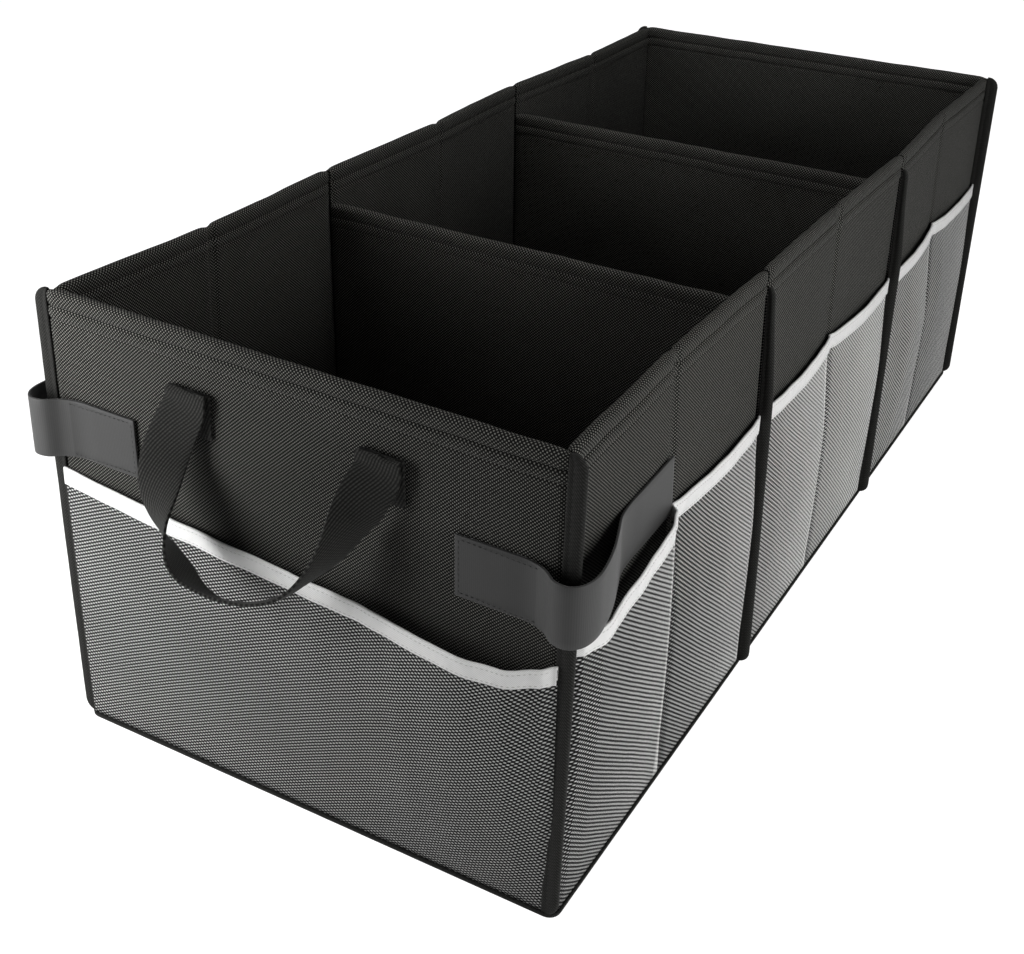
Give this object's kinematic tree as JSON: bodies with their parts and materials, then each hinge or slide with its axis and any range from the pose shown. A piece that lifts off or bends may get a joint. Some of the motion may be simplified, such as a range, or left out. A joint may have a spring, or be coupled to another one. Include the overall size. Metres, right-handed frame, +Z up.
{
  "type": "folding storage box",
  "caption": "Long open-topped cloth box divided into bays, with stiff panels, mesh pockets, webbing end handles, corner straps and lift-up base boards.",
  "frame": {"origin": "centre of the base at floor level", "axes": "+Z up, +Y along the box towards the end away from the closing straps, +X across the box to the right seen from the strap end"},
  "size_m": [0.4068, 0.9718, 0.32],
  "materials": {
    "cloth": "matt woven cloth over boards",
    "stiffener": "plain stiff board",
    "binding": "matt twill tape",
    "mesh": "grey open mesh over black cloth",
    "light_tape": "silver grey ribbed tape",
    "webbing": "black ribbed webbing"
  },
  "bodies": {
    "box": {"front_panel_cover": "cloth", "rear_panel_cover": "cloth", "front_divider_cover": "cloth", "rear_divider_cover": "cloth", "bottom_cloth": "cloth", "left_front_wall_cover": "cloth", "left_middle_wall_cover": "cloth", "left_rear_wall_cover": "cloth", "right_front_wall_cover": "cloth", "right_middle_wall_cover": "cloth", "right_rear_wall_cover": "cloth", "front_panel_board": "stiffener", "rear_panel_board": "stiffener", "front_divider_board": "stiffener", "rear_divider_board": "stiffener", "left_front_wall_board_1": "stiffener", "left_front_wall_board_2": "stiffener", "left_middle_wall_board_1": "stiffener", "left_middle_wall_board_2": "stiffener", "left_rear_wall_board_1": "stiffener", "left_rear_wall_board_2": "stiffener", "right_front_wall_board_1": "stiffener", "right_front_wall_board_2": "stiffener", "right_middle_wall_board_1": "stiffener", "right_middle_wall_board_2": "stiffener", "right_rear_wall_board_1": "stiffener", "right_rear_wall_board_2": "stiffener", "front_left_corner_binding": "binding", "left_front_seam_binding": "binding", "front_right_corner_binding": "binding", "right_front_seam_binding": "binding", "rear_left_corner_binding": "binding", "left_rear_seam_binding": "binding", "rear_right_corner_binding": "binding", "right_rear_seam_binding": "binding", "left_front_mesh_pocket": "mesh", "left_middle_mesh_pocket": "mesh", "left_rear_mesh_pocket": "mesh", "right_front_mesh_pocket": "mesh", "right_middle_mesh_pocket": "mesh", "right_rear_mesh_pocket": "mesh", "front_mesh_pocket": "mesh", "rear_mesh_pocket": "mesh", "left_front_pocket_tape": "light_tape", "left_middle_pocket_tape": "light_tape", "left_rear_pocket_tape": "light_tape", "right_front_pocket_tape": "light_tape", "right_middle_pocket_tape": "light_tape", "right_rear_pocket_tape": "light_tape", "front_pocket_tape": "light_tape", "rear_pocket_tape": "light_tape", "front_handle": "webbing", "rear_handle": "webbing", "left_closing_strap": "webbing", "right_closing_strap": "webbing"},
    "front_base_flap": {"front_base_board": "cloth"},
    "middle_base_flap": {"middle_base_board": "cloth"},
    "rear_base_flap": {"rear_base_board": "cloth"}
  },
  "joints": [
    {"name": "front_base_hinge", "type": "hinge", "parent": "box", "child": "front_base_flap", "pos_m": [0, -0.1501, 0.0059], "axis": [-1, 0, 0], "range_deg": [0, 90]},
    {"name": "middle_base_hinge", "type": "hinge", "parent": "box", "child": "middle_base_flap", "pos_m": [0, 0.1399, 0.0059], "axis": [-1, 0, 0], "range_deg": [0, 90]},
    {"name": "rear_base_hinge", "type": "hinge", "parent": "box", "child": "rear_base_flap", "pos_m": [0, 0.4269, 0.0059], "axis": [-1, 0, 0], "range_deg": [0, 90]}
  ]
}
